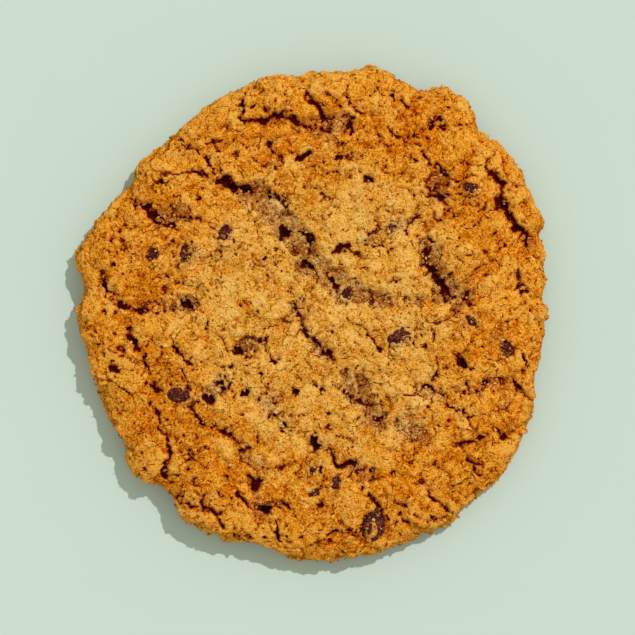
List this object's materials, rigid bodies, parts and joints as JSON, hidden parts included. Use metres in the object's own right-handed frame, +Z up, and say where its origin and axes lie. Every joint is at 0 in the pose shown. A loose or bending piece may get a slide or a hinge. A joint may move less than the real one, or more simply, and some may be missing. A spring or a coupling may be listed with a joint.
{
  "type": "oatmeal raisin cookie",
  "caption": "Thick round baked cookie with a cracked, crumbly golden crust, a lumpy rim, dark raisins set in the top and a flat underside.",
  "frame": {"origin": "middle of the flat underside, under the centre of the cookie's box", "axes": "+Z up through the cookie's thickness; +X to the right and +Y to the top of the cookie as seen from above"},
  "size_m": [0.0986, 0.1034, 0.0111],
  "materials": {
    "dough": "matt, crumbly",
    "raisin": "wrinkled, slightly glossy"
  },
  "bodies": {
    "root": {"dough": "dough", "raisin_01": "raisin", "raisin_02": "raisin", "raisin_03": "raisin", "raisin_04": "raisin", "raisin_05": "raisin", "raisin_06": "raisin", "raisin_07": "raisin", "raisin_08": "raisin", "raisin_09": "raisin", "raisin_10": "raisin", "raisin_11": "raisin", "raisin_12": "raisin", "raisin_13": "raisin", "raisin_14": "raisin"}
  },
  "joints": []
}
